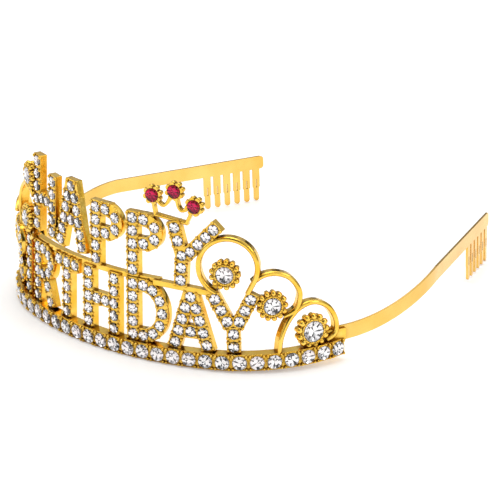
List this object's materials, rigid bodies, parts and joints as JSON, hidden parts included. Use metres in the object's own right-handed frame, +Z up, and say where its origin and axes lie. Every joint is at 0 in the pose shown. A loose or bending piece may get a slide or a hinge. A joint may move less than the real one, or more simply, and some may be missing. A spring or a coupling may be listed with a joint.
{
  "type": "birthday crown",
  "caption": "Gold tiara with two rows of stoned block letters on a curved stone rail, flowers in wire scrolls, a small red stone crown and two side strips with hair combs.",
  "frame": {"origin": "on the surface that the crown rests on, under the middle of its outline", "axes": "+Z up, +X to the right as the front is looked at, -Y out of the front of the rail and +Y back towards the combs"},
  "size_m": [0.1334, 0.134, 0.0545],
  "materials": {
    "cast_gold": "polished gold plate on a casting",
    "strip_gold": "polished gold plate on stamped strip",
    "clear_crystal": "clear cut glass with a foiled back",
    "red_crystal": "magenta red cut glass with a foiled back"
  },
  "bodies": {
    "root": {"front_frame": "cast_gold", "right_arm": "strip_gold", "left_arm": "strip_gold", "rail_stones": "clear_crystal", "upper_row_stones": "clear_crystal", "lower_row_stones": "clear_crystal", "flower_stone_right_inner": "clear_crystal", "flower_stone_right_middle": "clear_crystal", "flower_stone_right_outer": "clear_crystal", "flower_stone_left_inner": "clear_crystal", "flower_stone_left_middle": "clear_crystal", "flower_stone_left_outer": "clear_crystal", "flower_stone_left_top": "clear_crystal", "red_stone_left": "red_crystal", "red_stone_middle": "red_crystal", "red_stone_right": "red_crystal"}
  },
  "joints": []
}
